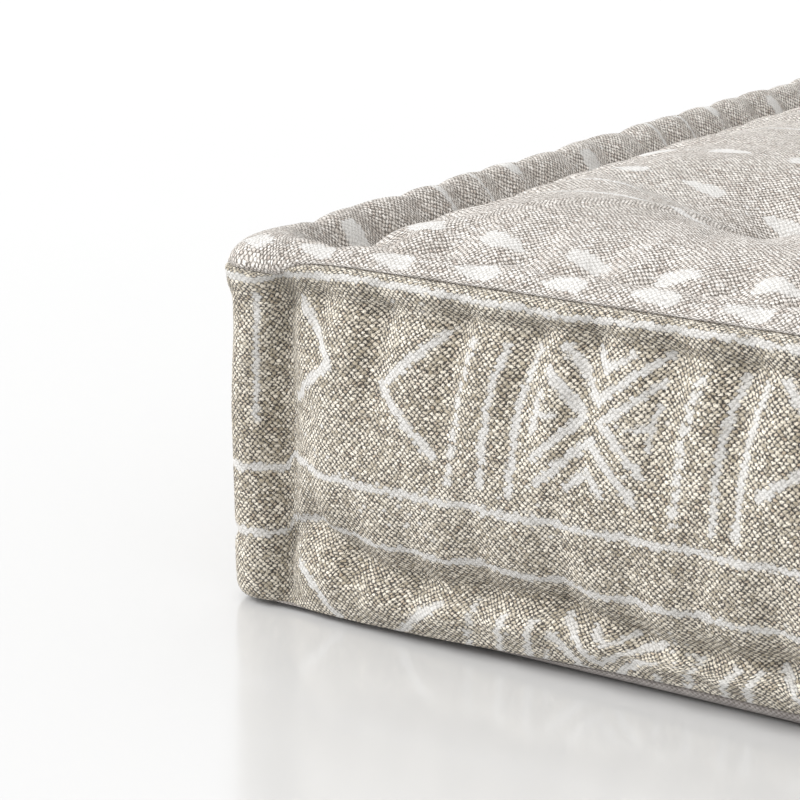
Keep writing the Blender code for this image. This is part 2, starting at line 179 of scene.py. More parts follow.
class Shade:
    """Wraps a socket of a material; arithmetic on it adds Math nodes."""

    def __init__(self, tree, socket=None):
        self.tree = tree
        self.socket = socket

    def node(self, kind, settings, sockets, output=0):
        """Any node: its type, its settings, then the values or links of its sockets."""
        made = self.tree.nodes.new(kind)
        for name, value in settings.items():
            setattr(made, name, value)
        for name, value in sockets.items():
            if isinstance(value, Shade):
                self.tree.links.new(value.socket, made.inputs[name])
            else:
                made.inputs[name].default_value = value
        return Shade(self.tree, made.outputs[output])

    def math(self, operation, *values):
        sockets = dict(enumerate(values))
        return self.node("ShaderNodeMath", {"operation": operation}, sockets)

    def __add__(self, other):
        return self.math("ADD", self, other)

    def __radd__(self, other):
        return self.math("ADD", other, self)

    def __sub__(self, other):
        return self.math("SUBTRACT", self, other)

    def __rsub__(self, other):
        return self.math("SUBTRACT", other, self)

    def __mul__(self, other):
        return self.math("MULTIPLY", self, other)

    def __rmul__(self, other):
        return self.math("MULTIPLY", other, self)

    def __truediv__(self, other):
        return self.math("DIVIDE", self, other)

    def __mod__(self, other):
        return self.math("FLOORED_MODULO", self, other)

    def __abs__(self):
        return self.math("ABSOLUTE", self)

    def __gt__(self, other):
        return self.math("GREATER_THAN", self, other)

    def other(self, output):
        """Another output of the node that this one comes from."""
        return Shade(self.tree, self.socket.node.outputs[output])

    def floor(self):
        return self.math("FLOOR", self)

    def part(self):
        return self.math("FRACT", self)

    def least(self, other):
        return self.math("MINIMUM", self, other)

    def most(self, other):
        return self.math("MAXIMUM", self, other)

    def ramp(self, low, high, to_low=0.0, to_high=1.0):
        """A smooth step from one value to another."""
        sockets = {"Value": self, "From Min": low, "From Max": high, "To Min": to_low, "To Max": to_high}
        return self.node("ShaderNodeMapRange", {"interpolation_type": "SMOOTHSTEP"}, sockets)

    def blend(self, low, high):
        """The colour low where this is nought and high where it is one."""
        settings = {"data_type": "RGBA", "blend_type": "MIX"}
        return self.node("ShaderNodeMix", settings, {0: self, 6: low, 7: high}, 2)


def new_material(name, roughness, sheen):
    """A material with its constants set, and the Shade that its nodes start from."""
    made = bpy.data.materials.new(name)
    made.use_nodes = True
    shader = made.node_tree.nodes["Principled BSDF"]
    shader.inputs["Roughness"].default_value = roughness
    shader.inputs["Sheen Weight"].default_value = sheen
    shader.inputs["Sheen Roughness"].default_value = 0.5
    shader.inputs["Specular IOR Level"].default_value = 0.25
    return made, shader, Shade(made.node_tree)


def finish_material(shader, start, colour, height, depth):
    """Links a colour, and a height in depths as a bump."""
    tree = start.tree
    tree.links.new(colour.socket, shader.inputs["Base Color"])
    bump = start.node("ShaderNodeBump", {}, {"Height": height, "Distance": depth, "Strength": 1.0})
    tree.links.new(bump.socket, shader.inputs["Normal"])


wadding_look, wadding_shader, start = new_material("cotton_wadding_look", 0.95, 0.3)
place = start.node("ShaderNodeTexCoord", {}, {}, "Object")
tufts_of_fibre = start.node("ShaderNodeTexNoise", {}, {"Vector": place, "Scale": 90.0, "Detail": 6.0})
fibres = start.node("ShaderNodeTexNoise", {}, {"Vector": place, "Scale": 900.0, "Detail": 3.0})
wadding_colour = tufts_of_fibre.ramp(0.3, 0.7).blend((0.60, 0.56, 0.49, 1), (0.82, 0.80, 0.75, 1))
finish_material(wadding_shader, start, wadding_colour, tufts_of_fibre + fibres * 0.3, 0.002)


def wadding_piece(name, points, faces, node, fill):
    """A piece of the wadding, in the place of one CAD node."""
    piece = new_piece(name, points, faces, node)
    piece.data.materials.append(wadding_look)


wadding_piece("pad", *capped(pad_points()), "filling_pad", 0.9)

# Level rolls: long ropes of twisted cotton wadding laid in the edges of the cover, one along the
# top and one along the bottom. The stitches through the cover close round them and nip them.
ROLL_CORE_INSET = 0.0135
ROLL_CORE_RADIUS = 0.0058
ROLL_CORE_HEIGHTS = {"roll_wadding_top": 0.1180, "roll_wadding_bottom": 0.0090}
ROLL_CORE_CORNER = 0.010


def edge_path(inset, corner, count):
    """Points evenly along a square with rounded corners, this far in from the sides, and the
    direction that points outwards at each."""
    straight = 2 * (HALF - inset - corner)
    bend = corner * math.pi / 2
    travel = np.linspace(0, 4 * (straight + bend), count, endpoint=False)
    side, on_side = np.divmod(travel, straight + bend)
    angle = np.clip((on_side - straight) / bend, 0, 1) * math.pi / 2
    across = np.minimum(on_side, straight) - straight / 2 + corner * np.sin(angle)
    out = HALF - inset - corner + corner * np.cos(angle)
    turned = side * math.pi / 2
    x = out * np.sin(turned) + across * np.cos(turned)
    y = -out * np.cos(turned) + across * np.sin(turned)
    normal = np.stack([np.sin(turned + angle), -np.cos(turned + angle), np.zeros(count)], -1)
    return np.stack([x, y], -1), normal


def ring_tube(centres, normals, radius, around):
    """A closed tube: circles of the radius given, carried along a closed path. The radius may
    change along the tube and round it."""
    turn = np.linspace(0, 2 * math.pi, around, endpoint=False)
    up = np.array([0.0, 0.0, 1.0])
    sideways = normals[:, None] * np.cos(turn)[None, :, None]
    upwards = up * np.sin(turn)[None, :, None]
    return centres[:, None] + (sideways + upwards) * radius[..., None]


def tube_faces(rings, around):
    """Faces of a tube whose last circle joins its first, turned outwards."""
    index = np.arange(rings * around).reshape(rings, around)
    ahead = np.roll(index, -1, 0)
    corners = (index, ahead, np.roll(ahead, -1, 1), np.roll(index, -1, 1))
    return np.stack(corners, -1).reshape(-1, 4).tolist()


ROPE_RINGS = 900
ROPE_AROUND = 20
for name, height in ROLL_CORE_HEIGHTS.items():
    plan, normal = edge_path(ROLL_CORE_INSET, ROLL_CORE_CORNER, ROPE_RINGS)
    centres = np.column_stack([plan, np.full(ROPE_RINGS, height)])
    turn = np.linspace(0, 2 * math.pi, ROPE_AROUND, endpoint=False)
    travel = np.linspace(0, 2 * math.pi, ROPE_RINGS, endpoint=False)[:, None]
    strands = 0.00025 * np.cos(3 * turn - 60 * travel) + 0.0001 * np.cos(5 * turn + 171 * travel)
    nipped = nip(along_nearest_side(plan[:, 0], plan[:, 1]), HIGH_STITCHES, PINCH_WIDTH)[:, None]
    radius = ROLL_CORE_RADIUS * (1 - 0.10 * nipped) + strands
    points = ring_tube(centres, normal, radius, ROPE_AROUND)
    wadding_piece(name + "_rope", points, tube_faces(ROPE_RINGS, ROPE_AROUND), name, 0.8)


# Upright rolls: a short bolster of the same wadding stands inside each corner of the cover.
# Corner stitches pass behind it and hold it in a pocket of its own.
CORNER_ROLL_RADIUS = 0.014
CORNER_CORE_RADIUS = 0.0082
CORNER_CORE_FOOT = 0.0345
CORNER_CORE_LENGTH = 0.0685
CORNERS = {"front_left": (-1, -1), "front_right": (1, -1), "back_right": (1, 1), "back_left": (-1, 1)}

for name, (way_x, way_y) in CORNERS.items():
    turn = np.linspace(0, 2 * math.pi, 28, endpoint=False)
    rise = np.linspace(0, 1, 30)[:, None]
    rounding = np.sqrt(1 - (1 - np.clip(np.minimum(rise, 1 - rise) / 0.12, 0, 1)) ** 2 * 0.6)
    radius = CORNER_CORE_RADIUS * rounding + 0.0002 * np.cos(5 * turn + 14 * rise)
    x = way_x * (HALF - CORNER_ROLL_RADIUS) + radius * np.cos(turn)
    y = way_y * (HALF - CORNER_ROLL_RADIUS) + radius * np.sin(turn)
    z = CORNER_CORE_FOOT + CORNER_CORE_LENGTH * rise + 0 * x
    points, faces = capped(np.stack([x, y, z], -1))
    wadding_piece("corner_bolster_" + name, points, faces, "corner_wadding_" + name, 0.8)


# Side band: one strip of coarse slubbed cotton, hand-printed in white, that runs round all four
# sides and is closed in the middle of the back. Stitches pull two level grooves into it, and
# one upright groove each side of every corner, so that the wadding stands out in rolls.
BAND_ARC = math.radians(105)  # of the upright roll, from the corner line to its groove
ROLL_WRAP = CORNER_ROLL_RADIUS * BAND_ARC
GROOVE_AT = 0.0261  # along a side, from its end to the groove of the upright roll
CORNER_DROP = 0.0050  # of the upper seam at a corner
BAND_REACH = ROLL_WRAP + HALF - GROOVE_AT
BAND_STEP = 0.0038
CORNER_GROOVE = 0.0102
LOW_SPACING = (40, 18, 24, 26, 32, 26, 23, 27, 30, 25, 28, 29, 24, 27, 31, 26, 25, 28, 24, 29, 18, 40)
LOW_STITCHES = np.concatenate([[0.0], np.cumsum(LOW_SPACING)]) / 1000
LOW_RISES = (40, 35, 26, 22, 24, 26, 20, 19, 21, 23, 20, 22, 24, 21, 19, 22, 24, 21, 20, 24, 27, 35, 40)
LOW_HEIGHTS = np.array(LOW_RISES) / 1000
ROWS_BETWEEN = (1, 2, 2, 2, 2, 2, 3, 4, 5, 4, 3, 2, 2, 2, 2, 1)
# Knots of the band's profile, counted from its lower edge
LOW_KNOT = 5
MIDDLE_KNOT = 8.5
HIGH_KNOT = 12
SEAM_KNOT = 15


def band_plan(reach):
    """Where a distance along the cloth from the corner line of one side lies, seen from above:
    round the upright roll as a circle, then along the side. Gives the distance from the nearer
    corner line, whether that is the far one, whether it lies on the upright roll, the angle
    round the roll, the distance past its groove, and the share of roll, which is one on the
    roll and falls as an exponential past it."""
    back = reach > BAND_REACH
    near = np.where(back, 2 * BAND_REACH - reach, reach)
    on_roll = near <= ROLL_WRAP
    angle = math.radians(-135) + np.minimum(near / CORNER_ROLL_RADIUS, BAND_ARC)
    past = np.clip(near - ROLL_WRAP, 0, None)
    roll = np.exp(-past / 0.006) * ~on_roll + on_roll
    return near, back, on_roll, angle, past, roll


def high_groove(along):
    """Height of the upper groove: level, with one slow sine wave."""
    return 0.1140 + 0.0009 * np.sin(along * 47 + 1)


def corner_sag(past):
    """How much of its fall the lower seam has at a distance past a corner groove: a falling
    exponential of the distance cubed."""
    return np.exp(-((past / 0.105) ** 3))


def band_profile(reach):
    """Heights and insets of the band's seventeen knots, from its lower seam to its upper one,
    for each distance along one side. On a side, what stitches and wadding do to the inset is
    added up; on the upright roll the cloth stays near the circle."""
    near, back, on_roll, _, past, roll = band_plan(reach)
    along = np.where(on_roll, GROOVE_AT * near / ROLL_WRAP, GROOVE_AT + past)
    along = np.where(back, SIDE - along, along)
    flat = 1 - roll
    puff = arch(along, HIGH_STITCHES)
    pinch = nip(along, HIGH_STITCHES, 0.0055)
    low_puff = arch(along, LOW_STITCHES)
    low_pinch = nip(along, LOW_STITCHES, 0.0060)
    low = np.interp(along, LOW_STITCHES, LOW_HEIGHTS)
    low = low * flat + 0.024 * roll
    high = high_groove(along) - 0.0045 * roll
    bulge = 0.0048 * (1 - np.exp(-past / 0.018)) * (1 + 0.14 * np.sin(along * 58 + 0.5))
    seam_low = 0.0064 - 0.0045 * corner_sag(past)
    seam_high = 0.1256 - CORNER_DROP * roll
    middle = (low + high) / 2
    drape = 0.0026 * pinch - 0.0018 * puff
    low_drape = 0.0013 * low_pinch - 0.0010 * low_puff
    heights = [
        seam_low + 0.0014,
        seam_low,
        seam_low + 0.0036,
        (seam_low + low) / 2 + 0.0015,
        low - 0.0045,
        low,
        low + 0.0045,
        low + 0.0130,
        middle - 0.010,
        middle + 0.010,
        high - 0.0150,
        high - 0.0055,
        high,
        high + 0.0036,
        seam_high - 0.0032,
        seam_high - 0.0003,
        seam_high,
    ]
    insets = [
        0.0062 + 0 * along,
        0.0030 + 0 * along,
        0.0008 * flat + 0.0006 * roll,
        (-0.0030 - 0.0012 * low_puff + 0.0014 * low_pinch) * flat,
        (0.0016 + 0.0010 * low_pinch - 0.0010 * low_puff) * flat,
        (0.0052 + 0.0030 * low_pinch - 0.0008 * low_puff) * flat,
        (0.0020 + 0.0018 * low_pinch - 0.0006 * low_puff) * flat,
        (-0.45 * bulge + low_drape) * flat + 0.0006 * roll,
        (-0.98 * bulge + 0.3 * low_drape) * flat + 0.0013 * roll,
        (-bulge + 0.4 * drape) * flat + 0.0016 * roll,
        (-0.55 * bulge + drape) * flat + 0.0016 * roll,
        (0.0004 + 1.2 * drape) * flat + 0.0014 * roll,
        (0.0026 + 0.0044 * pinch - 0.0014 * puff) * flat + 0.0006 * roll,
        (0.0009 + 0.0014 * pinch - 0.0008 * puff) * flat - 0.0004 * roll,
        (-0.0008 + 0.0007 * pinch - 0.0006 * puff) * flat - 0.0010 * roll,
        0.0014 - 0.0028 * roll,
        0.0048 - 0.0028 * roll,
    ]
    return np.array(heights), np.array(insets)


# How far each knot follows the pinched path: not at all at the seams, wholly between them
PINCHED = np.array([0, 0.30, 0.80, 1, 1, 1, 1, 1, 1, 1, 1, 1, 1, 0.95, 0.55, 0.12, 0])


def through(knots, steps):
    """A smooth curve through rows of knots: between each two, the cubic that leaves each knot
    in the direction from the one before it to the one after it."""
    span = np.clip(np.floor(steps).astype(int), 0, len(knots) - 2)
    share = (steps - span).reshape((-1,) + (1,) * (knots.ndim - 1))
    padded = np.concatenate([2 * knots[:1] - knots[1:2], knots, 2 * knots[-1:] - knots[-2:-1]])
    before, first, second, after = (padded[span + i] for i in range(4))
    return 0.5 * (
        2 * first
        + (second - before) * share
        + (2 * before - 5 * first + 4 * second - after) * share**2
        + (3 * first - before - 3 * second + after) * share**3
    )


def band_points(travel, steps):
    """The band for distances along it from the middle of the back, going left, front, right and
    back, and steps up its profile. The inset moves a point inwards, and the corner grooves are
    falling exponentials added to it."""
    side, reach = np.divmod(travel + BAND_REACH, 2 * BAND_REACH)
    last = travel >= 8 * BAND_REACH - 1e-9
    side, reach = np.where(last, 4, side), np.where(last, BAND_REACH, reach)
    near, back, on_roll, angle, past, _ = band_plan(reach)
    heights, insets = band_profile(reach)
    z = through(heights, steps)
    inset = through(insets, steps)
    pinched = through(PINCHED[:, None], steps)
    radius = CORNER_ROLL_RADIUS
    bottom = np.exp(-(ROLL_WRAP - near) / 0.0035) * on_roll
    left = np.where(on_roll, radius + (radius - inset) * np.cos(angle), GROOVE_AT + past)
    front = radius + (radius - inset) * np.sin(angle) + (CORNER_GROOVE - 0.007) * bottom
    square = np.where(left > radius, inset, front)
    groove = inset + CORNER_GROOVE * np.exp(-past / 0.0080)
    front = np.where(on_roll, front, groove)
    y = square + pinched * (front - square)
    x = np.where(back, SIDE - left, left)
    x, y = x - HALF, y - HALF
    turned = (side - 2) * math.pi / 2
    cos, sin = np.cos(turned), np.sin(turned)
    return np.stack([x * cos - y * sin, x * sin + y * cos, z], -1)


def spread(lengths):
    """Steps that divide each span between two knots into the number of rows given."""
    parts = [np.arange(count) / count + span for span, count in enumerate(lengths)]
    return np.concatenate(parts + [[float(len(lengths))]])


def lay_out(piece, across, up):
    """Gives a grid piece its flat cloth as a UV map, in metres of cloth."""
    layer = piece.data.uv_layers.new(name="cloth")
    loops = np.zeros(len(piece.data.loops), np.int32)
    piece.data.loops.foreach_get("vertex_index", loops)
    flat = np.stack([across.reshape(-1)[loops], up.reshape(-1)[loops]], -1)
    layer.data.foreach_set("uv", flat.astype(np.float32).reshape(-1))


CLOTH_FRAMES = 20
ABOVE_FLOOR = 0.0006


def fill_out(piece, held, most):
    """Lets the wadding push the cloth out: a short run of cloth with air pressure inside, its
    stitched points held. The way a point moves is kept, and its length goes through a
    hyperbolic tangent, so that it stays under the most given."""
    count = len(piece.data.vertices)
    before = np.zeros(count * 3, np.float32)
    piece.data.vertices.foreach_get("co", before)
    group = piece.vertex_groups.new(name="stitched")
    group.add(np.flatnonzero(held.reshape(-1)).tolist(), 1.0, "REPLACE")
    cloth = piece.modifiers.new("filling", "CLOTH")
    settings = cloth.settings
    settings.quality = 5
    settings.mass = 0.35
    settings.tension_stiffness = 18
    settings.compression_stiffness = 18
    settings.shear_stiffness = 6
    settings.bending_stiffness = 3
    settings.vertex_group_mass = group.name
    settings.use_pressure = True
    settings.uniform_pressure_force = 4
    settings.effector_weights.gravity = 0
    settings.shrink_min = -0.018
    cloth.point_cache.frame_start = 1
    cloth.point_cache.frame_end = CLOTH_FRAMES
    for number in range(1, CLOTH_FRAMES + 1):
        bpy.context.scene.frame_set(number)
    graph = bpy.context.evaluated_depsgraph_get()
    settled = piece.evaluated_get(graph).to_mesh()
    after = np.zeros(count * 3, np.float32)
    settled.vertices.foreach_get("co", after)
    piece.modifiers.remove(cloth)
    bpy.context.scene.frame_set(1)
    moved = (after - before).reshape(-1, 3)
    length = np.linalg.norm(moved, axis=1, keepdims=True)
    kept = np.tanh(length / most) * most
    placed = before.reshape(-1, 3) + moved * kept / np.maximum(length, 1e-9)
    placed[:, 2] = np.clip(placed[:, 2], ABOVE_FLOOR, None)
    piece.data.vertices.foreach_set("co", placed.reshape(-1))
    piece.data.update()
    piece.vertex_groups.clear()


def smooth(piece):
    """One subdivision."""
    divided = piece.modifiers.new("smooth", "SUBSURF")
    divided.levels = 1
    divided.render_levels = 1


def arc_length(points):
    """Distance along a line of points, from its first."""
    steps = np.linalg.norm(np.diff(points, axis=0), axis=1)
    return np.concatenate([[0.0], np.cumsum(steps)])


PRINT_SHIFT = 0.0018
travel = np.linspace(0, 8 * BAND_REACH, 1 + 8 * round(BAND_REACH / BAND_STEP))
steps = spread(ROWS_BETWEEN)
points = band_points(travel, steps)
plain = band_points(travel, np.array([MIDDLE_KNOT]))[0]
cloth_along = arc_length(plain)
corner_column = np.abs(travel - 3 * BAND_REACH).argmin()
cloth_along -= cloth_along[corner_column] + PRINT_SHIFT
# Cloth heights are counted from the middle row; along the upper seam they are evened out, so
# that the print's top line stays level
rise = np.linalg.norm(np.diff(points, axis=0), axis=2)
up = np.concatenate([np.zeros((1, len(travel))), np.cumsum(rise, 0)])
middle_row = np.abs(steps - MIDDLE_KNOT).argmin()
up += points[middle_row, :, 2] - up[middle_row]
seam_up = up[np.abs(steps - SEAM_KNOT).argmin()] - up[middle_row]
even_up = np.convolve(np.pad(seam_up, 6, mode="edge"), np.full(13, 1 / 13), mode="valid")
up[middle_row:] = up[middle_row] + (up[middle_row:] - up[middle_row]) * even_up / seam_up
rows, columns = points.shape[:2]
band = new_piece("band_cloth", points, grid_faces(rows, columns), "side_band")
lay_out(band, np.tile(cloth_along, (rows, 1)), up)
along = np.mod(travel + BAND_REACH, 2 * BAND_REACH)
near_end = GROOVE_AT + along - ROLL_WRAP
far_end = SIDE - (GROOVE_AT + 2 * BAND_REACH - along - ROLL_WRAP)
side_x = np.where(along < BAND_REACH, near_end, far_end)
at_high = nip(side_x, HIGH_STITCHES, 0.0030) > 0.5
at_low = nip(side_x, LOW_STITCHES, 0.0030) > 0.5
groove_line = 0.0265
at_corner = np.minimum(np.abs(side_x - groove_line), np.abs(SIDE - groove_line - side_x)) < 0.002
held = np.zeros(points.shape[:2], bool)
held[:3] = True
held[-2:] = True
held[:, [0, -1]] = True
held |= (np.abs(steps - HIGH_KNOT) < 0.6)[:, None] & at_high
held |= (np.abs(steps - LOW_KNOT) < 0.6)[:, None] & at_low
held |= ((steps > 3) & (steps < HIGH_KNOT + 1.5))[:, None] & at_corner
fill_out(band, held, 0.004)
smooth(band)


# The printed cloth of band and top: thick slubbed yarn in a basket-like weave, each float a
# light oval knot with painted shade in the gaps between, and white pigment paste pressed on by hand with
# a block.
KNOT_ACROSS = 2.0
KNOT_UP = 2.05
DOME_ACROSS = 0.88
DOME_UP = 0.56
TOP_LINE = 125.2
REPEAT_ALONG = 184
REPEAT_UP = 97
TOP_REPEAT = 167


def woven(start):
    """Knots of the weave, from the flat cloth in millimetres. Two lattices of oval domes, each
    one less the squares of its two distances, lie half a pitch apart both ways, and the higher
    dome is what shows. Gives the flat cloth, the place pulled towards the knot's middle both
    ways, the height, and three random numbers for each knot."""
    flat = start.node("ShaderNodeUVMap", {"uv_map": "cloth"}, {})
    across = start.node("ShaderNodeSeparateXYZ", {}, {"Vector": flat})
    up = across.other(1) * 1000.0
    across = across * 1000.0
    drift = start.node(
        "ShaderNodeTexNoise",
        {"noise_dimensions": "2D"},
        {"Vector": flat, "Scale": 200.0, "Detail": 5.0, "Roughness": 0.88},
    )
    drift = start.node("ShaderNodeSeparateColor", {}, {"Color": drift.other(1)})
    wide = across + (drift - 0.5) * 2.8 + up * 0.06
    tall = up + (drift.other(1) - 0.5) * 2.5
    wide_a, tall_a = wide / KNOT_ACROSS, tall / KNOT_UP
    wide_b, tall_b = wide_a + 0.5, tall_a + 0.5
    u_a, v_a = (wide_a.part() - 0.5) * KNOT_ACROSS, (tall_a.part() - 0.5) * KNOT_UP
    u_b, v_b = (wide_b.part() - 0.5) * KNOT_ACROSS, (tall_b.part() - 0.5) * KNOT_UP
    dome_a = 1 - u_a * u_a / DOME_ACROSS - v_a * v_a / DOME_UP
    dome_b = 1 - u_b * u_b / DOME_ACROSS - v_b * v_b / DOME_UP
    is_b = dome_b > dome_a
    label = start.node(
        "ShaderNodeCombineXYZ",
        {},
        {"X": (wide_a + is_b * 0.5).floor() * 2.0 + is_b, "Y": (tall_a + is_b * 0.5).floor()},
    )
    chance = start.node("ShaderNodeTexWhiteNoise", {"noise_dimensions": "2D"}, {"Vector": label})
    chance = start.node("ShaderNodeSeparateColor", {}, {"Color": chance.other(1)})
    height = dome_a.most(dome_b) - chance.other(2) * 0.36
    knot_across = across - (u_a + is_b * (u_b - u_a)) * 0.7
    knot_up = up - (v_a + is_b * (v_b - v_a)) * 0.7
    return flat, knot_across, knot_up, height, chance


def stroke(x, y, start_at, end_at, half_width):
    """How far inside a straight stroke with round ends a place is, in millimetres: the half
    width less the distance to the nearest point between the stroke's two ends."""
    run_x, run_y = end_at[0] - start_at[0], end_at[1] - start_at[1]
    length = run_x**2 + run_y**2
    from_x, from_y = x - start_at[0], y - start_at[1]
    share = (from_x * (run_x / length) + from_y * (run_y / length)).most(0.0).least(1.0)
    off_x, off_y = from_x - share * run_x, from_y - share * run_y
    return half_width - x.math("SQRT", off_x * off_x + off_y * off_y)


def bar(x, place, half_width):
    """How far inside an endless upright line a place is."""
    return half_width - abs(x - place)


def between(y, low, high):
    """How far inside a level strip a place is."""
    return (y - low).least(high - y)


def side_print(x, y, slow):
    """The band's print, in millimetres along the band from the front left corner and up: level
    wavy lines in pairs, and between them arrow heads, upright lines and a crossed figure, which
    come again along and up. The upright figures lean a little. At the front left corner one
    line stands alone, and the level lines move with the cloth that is gathered there."""
    wave = (slow - 0.5) * 5.0
    on_face = x.ramp(20, 26)
    on_roll = (1 - on_face) * x.ramp(-60, -55)
    lowered = (1 - abs(x).ramp(12, 44)) * 6.6
    first = stroke(x, y, (10.5, 68), (11.0, 113), 1.1)
    first = first.least(on_roll * 9 - 3)
    past_roll = x.ramp(34, 40).most(x.ramp(-30, -40))
    off_roll = x.ramp(26, 30).most(x.ramp(-24, -28)) * 4 - 4
    x = (x + wave * 0.3 - 15) % REPEAT_ALONG + 15
    level = y + wave + on_roll * 5.0
    lines = (1.4 - abs(level - 55.6)).most(1.4 - abs(level - 33.4))
    lines = lines.most(1.4 - abs(y + wave * 0.2 - TOP_LINE + lowered))
    raised = (y + wave * 0.4 - 45) % REPEAT_UP + 45
    leaning = x - (raised - 91) * 0.06 - (raised - 91).most(0.0) * 0.15
    arrow = stroke(x, raised, (54.5, 93.5), (36.0, 113.5), 1.8)
    arrow = arrow.most(stroke(x, raised, (54.5, 93.5), (31.5, 77.5), 1.8))
    arrow = arrow.most(stroke(x, raised, (75.5, 89.0), (97.5, 109.5), 1.8))
    arrow = arrow.most(stroke(x, raised, (75.5, 89.0), (98.0, 70.0), 1.8))
    beads = (abs((raised / 5.2).part() - 0.5) - 0.13) * 7.0
    uprights = bar(leaning, 118.7, 1.4).most(bar(leaning, 129.5, 1.4))
    uprights = uprights.most(bar(leaning, 106.2, 1.5).least(beads))
    uprights = uprights.most(bar(leaning, 188.0, 1.5).least(beads) + off_roll)
    uprights = uprights.most(bar(leaning, 17.0, 1.4).most(bar(leaning, 25.5, 1.4)) + past_roll * 4 - 4)
    uprights = uprights.least(between(raised, 62, 112))
    cross_x, cross_y = abs(leaning - 156.5), abs(raised - 91.4)
    figure = stroke(cross_x, cross_y, (0, 6.5), (17.5, 23), 1.65)
    figure = figure.most(stroke(cross_x, cross_y, (3.7, 0), (19.2, 14.3), 1.65))
    figure = figure.most(stroke(cross_x, cross_y, (0, 16.5), (6.5, 22.5), 1.4))
    figure = figure.most(stroke(cross_x, cross_y, (20.5, 0), (20.5, 6.5), 1.25))
    figure = figure.most(stroke(cross_x, cross_y, (20.5, 0), (14, 0), 1.15))
    return lines.most(arrow).most(uprights).most(figure).most(first)


def blunt(share):
    """Half the height of a mark, from its thin end to its blunt one: the share of the way to the
    power 0.6, times the share left to the power 0.25."""
    return share.math("POWER", share, 0.6) * share.math("POWER", 1 - share, 0.25)


def top_print(x, y, slow):
    """The top's print, from its front left corner: two rows of blunt marks, one tapering left
    and one tapering right, then two thin level lines, and all again further in."""
    y = (y + (slow - 0.5) * 5.0 + 20) % TOP_REPEAT - 20
    first = (((x + (slow - 0.5) * 3 + 11) % 32.3 - 7) / 16.5).most(0.0).least(1.0)
    marks = blunt(first) * 6.2 - abs(y)
    second = ((26 - (x + (slow - 0.5) * 4 - 1) % 34.5) / 17).most(0.0).least(1.0)
    marks = marks.most(blunt(second) * 7.6 - abs(y - 43.5 - (1 - x.ramp(35, 150)) * 9))
    return marks.most(1.9 - abs(y - 114)).most(1.2 - abs(y - 140))


def cloth_noise(start, flat, scale, detail):
    """Noise over the flat cloth."""
    sockets = {"Vector": flat, "Scale": scale, "Detail": detail}
    return start.node("ShaderNodeTexNoise", {"noise_dimensions": "2D"}, sockets)


def printed_cloth(name, print_at, gap, dark, light, tint, paste_white):
    """Material of a printed panel: its print, and the colours of gaps, yarn, slubs and paste.
    The colour of the gaps is painted shade, reached by the dome's height down each knot's side,
    and the paste is painted greyer lower down each knot in the same way.
    The print is looked up at the middle of each knot, so that its edges follow the weave."""
    look, shader, start = new_material(name, 0.9, 0.35)
    flat, x, y, height, chance = woven(start)
    slow = cloth_noise(start, flat, 14.0, 2.0)
    patchy = cloth_noise(start, flat, 28.0, 5.0)
    fibre = cloth_noise(start, flat, 1900.0, 3.0)
    inside = print_at(x, y, slow) + (chance.other(1) - 0.5) * 1.5 + (fibre - 0.5) * 1.5
    paste = inside.ramp(-0.25, 0.45) * (0.84 + chance * 0.16)
    specks = (chance.other(1) + patchy * 0.5).ramp(1.27, 1.31)
    paste = paste.most(specks * 0.75)
    yarn = (chance * 0.75 + patchy * 0.5).ramp(0.10, 1.00).blend(dark, light)
    yarn = (chance.other(2).ramp(0.80, 1.0) * 0.5).blend(yarn, tint)
    # Painted shade: by the dome's height, each knot darkens from its top down to the gap colour
    lit_by_height = (height + (fibre - 0.5) * 1.1).ramp(0.0, 0.52)
    cloth = lit_by_height.blend(gap, yarn)
    # Painted shade on the paste: greyer lower down each knot, with fibre noise as well
    white = ((lit_by_height + fibre * 1.4) * 0.42).blend((0.48, 0.465, 0.44, 1), paste_white)
    colour = paste.blend(cloth, white)
    relief = height.most(-0.8) * (1 - paste * 0.72) + fibre * 0.45
    finish_material(shader, start, colour, relief, 0.0007)
    return look


band_look = printed_cloth(
    "printed_band_look",
    side_print,
    # Colour of the gaps: painted shade
    (0.030, 0.021, 0.011, 1),
    (0.45, 0.385, 0.28, 1),
    (0.98, 0.90, 0.76, 1),
    (0.58, 0.45, 0.33, 1),
    (0.70, 0.69, 0.67, 1),
)
band.data.materials.append(band_look)


# Top panel: a square of the same cloth, sewn to the band low on the outside of the roll,
# quilted down inside the roll by the same stitches, and pulled down by nine tufts.
TOP_INSETS = np.concatenate([[0.0024, 0.0025], np.arange(0.0050, 0.0405, 0.0027)])
TOP_STEP = 0.0043
TOP_CORNER = 0.0116
TOP_EDGE = 0.0025  # inset of the seam, where the hem is folded in
TOP_HEM = 0.0048  # inset of the hem behind the band
QUARTER = 0.0106  # of the roll at a corner, in from the seam


def sheet_lines(insets, step):
    """Places of the grid lines across the cushion: the insets given at each side, and even
    steps of about the size given between them."""
    edge = -HALF + insets
    count = 2 * round(-edge[-1] / step) + 1
    return np.concatenate([edge[:-1], np.linspace(edge[-1], -edge[-1], count), -edge[-2::-1]])


def round_corners(x, y, radius, push=0.0):
    """Moves the points of each square ring that lie within the radius of its corner onto a
    quarter circle, and then pushes them away from its middle. The radius shrinks towards the
    middle of the cushion."""
    size = np.maximum(np.abs(x), np.abs(y))
    bend = np.minimum(radius, size * 0.1)
    over_x = np.clip(np.abs(x) - size + bend, 0, None)
    over_y = np.clip(np.abs(y) - size + bend, 0, None)
    length = np.hypot(over_x, over_y)
    scale = np.where(length > 0, bend / np.where(length > 0, length, 1), 1)
    both = (over_x > 0) & (over_y > 0)
    new_x = np.where(both, np.sign(x) * (size - bend + over_x * scale), x)
    new_y = np.where(both, np.sign(y) * (size - bend + over_y * scale), y)
    push = push / np.maximum(length, 1e-9)
    return new_x + np.sign(x) * over_x * push, new_y + np.sign(y) * over_y * push


def past_groove(along):
    """Distance along a side past its nearer corner groove, and nought before it."""
    return np.clip(np.minimum(along, SIDE - along) - GROOVE_AT, 0, None)


